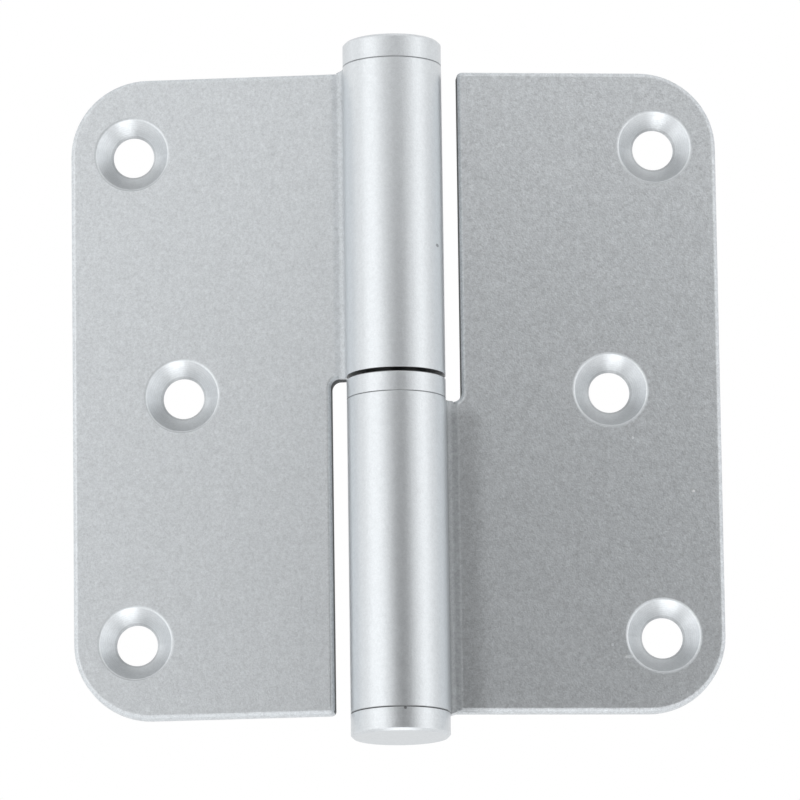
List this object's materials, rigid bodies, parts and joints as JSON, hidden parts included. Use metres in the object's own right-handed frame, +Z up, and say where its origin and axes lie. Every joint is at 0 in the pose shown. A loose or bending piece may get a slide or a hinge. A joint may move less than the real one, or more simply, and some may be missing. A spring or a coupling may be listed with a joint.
{
  "type": "lift-off paumelle hinge",
  "caption": "Lift-off paumelle hinge with rounded corners, countersunk leaves, rolled knuckles, a ball-topped pin, a spacer ring and end caps.",
  "frame": {"origin": "middle of the frame leaf's two corner holes, on the leaf's back, where it lies on the door frame", "axes": "+Z up along the pin, +X from the pin towards the frame leaf's free edge, +Y out of the leaf's back into the door frame; the countersunk faces look towards -Y"},
  "size_m": [0.0881, 0.0172, 0.0962],
  "materials": {
    "coated_leaf": "satin silver-grey coating with a fine metallic grain on steel",
    "coated_ring": "satin silver-grey coating on steel",
    "pin_steel": "ground steel, lightly oiled",
    "ball_steel": "polished bearing steel",
    "cap": "satin silver-grey coating, finer than the leaves"
  },
  "bodies": {
    "frame_side": {"frame_leaf": "coated_leaf", "hinge_pin": "pin_steel", "spacer_ring": "coated_ring", "bottom_cap": "cap"},
    "ball": {"thrust_ball": "ball_steel"},
    "door_side": {"door_leaf": "coated_leaf", "top_cap": "cap"}
  },
  "joints": [
    {"name": "swing", "type": "hinge", "parent": "frame_side", "child": "ball", "pos_m": [-0.03605, -0.003, 0], "axis": [0, 0, 1], "range_deg": [-128, 189.7]},
    {"name": "lift", "type": "slide", "parent": "ball", "child": "door_side", "axis": [0, 0, 1], "range_m": [0, 0.04]}
  ]
}
